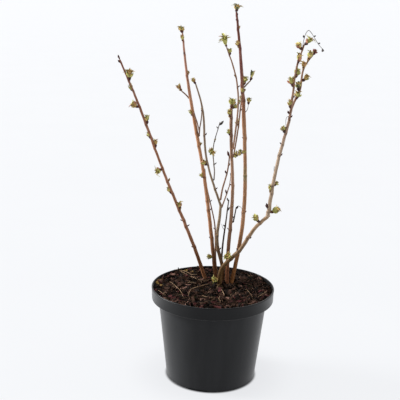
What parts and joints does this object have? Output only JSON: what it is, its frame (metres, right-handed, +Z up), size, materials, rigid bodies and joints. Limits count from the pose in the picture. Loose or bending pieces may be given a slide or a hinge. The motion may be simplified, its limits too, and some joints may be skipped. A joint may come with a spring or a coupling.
{
  "type": "potted false spiraea shrub",
  "caption": "Young bare multi-stem shrub with opening leaf buds, standing in a round black nursery pot filled with bark soil.",
  "frame": {"origin": "middle of the pot's flat underside", "axes": "+Z up along the stems, +Y away from the viewer of the picture, +X to that viewer's right"},
  "size_m": [0.3438, 0.223, 0.6726],
  "materials": {
    "black_plastic": "satin black moulded plastic",
    "dark_soil": "damp bark and peat soil",
    "brown_bark": "young red-brown bark with pale pores",
    "grey_bark": "dry dead bark",
    "bud_green": "yellow-green young leaves and bud scales"
  },
  "bodies": {
    "root": {"bough_middle": "brown_bark", "bough_middle_left": "brown_bark", "bough_middle_right": "brown_bark", "bough_right_inner": "brown_bark", "bough_right_outer": "brown_bark", "fork_foot": "brown_bark", "fork_left": "brown_bark", "fork_right": "brown_bark", "pot": "black_plastic", "shoot_grey": "grey_bark", "shoot_long": "brown_bark", "shoot_short": "brown_bark", "soil": "dark_soil", "stem_centre": "brown_bark", "stem_dead_thin": "grey_bark", "stem_far_left": "brown_bark", "stem_left": "brown_bark", "stem_left_thin": "brown_bark", "stem_middle": "brown_bark", "stem_right_foot": "brown_bark", "stem_right_rise": "brown_bark", "stem_tall": "brown_bark", "stub_dead": "grey_bark", "tuft_bend_left": "bud_green", "tuft_bend_right": "bud_green", "tuft_centre": "bud_green", "tuft_centre_side": "bud_green", "tuft_crossing": "bud_green", "tuft_far_left": "bud_green", "tuft_far_left_high": "bud_green", "tuft_far_left_low": "bud_green", "tuft_fork_right": "bud_green", "tuft_front_foot": "bud_green", "tuft_grey_side": "bud_green", "tuft_inner_low": "bud_green", "tuft_left": "bud_green", "tuft_left_foot": "bud_green", "tuft_middle_left": "bud_green", "tuft_outer_low": "bud_green", "tuft_right_inner": "bud_green", "tuft_right_outer": "bud_green", "tuft_shoot_long": "bud_green", "tuft_shoot_short": "bud_green", "tuft_tall": "bud_green", "tuft_twig_left": "bud_green", "tuft_twig_tall": "bud_green", "twig_dead_arch": "grey_bark", "twig_left": "brown_bark", "twig_tall": "brown_bark"}
  },
  "joints": []
}
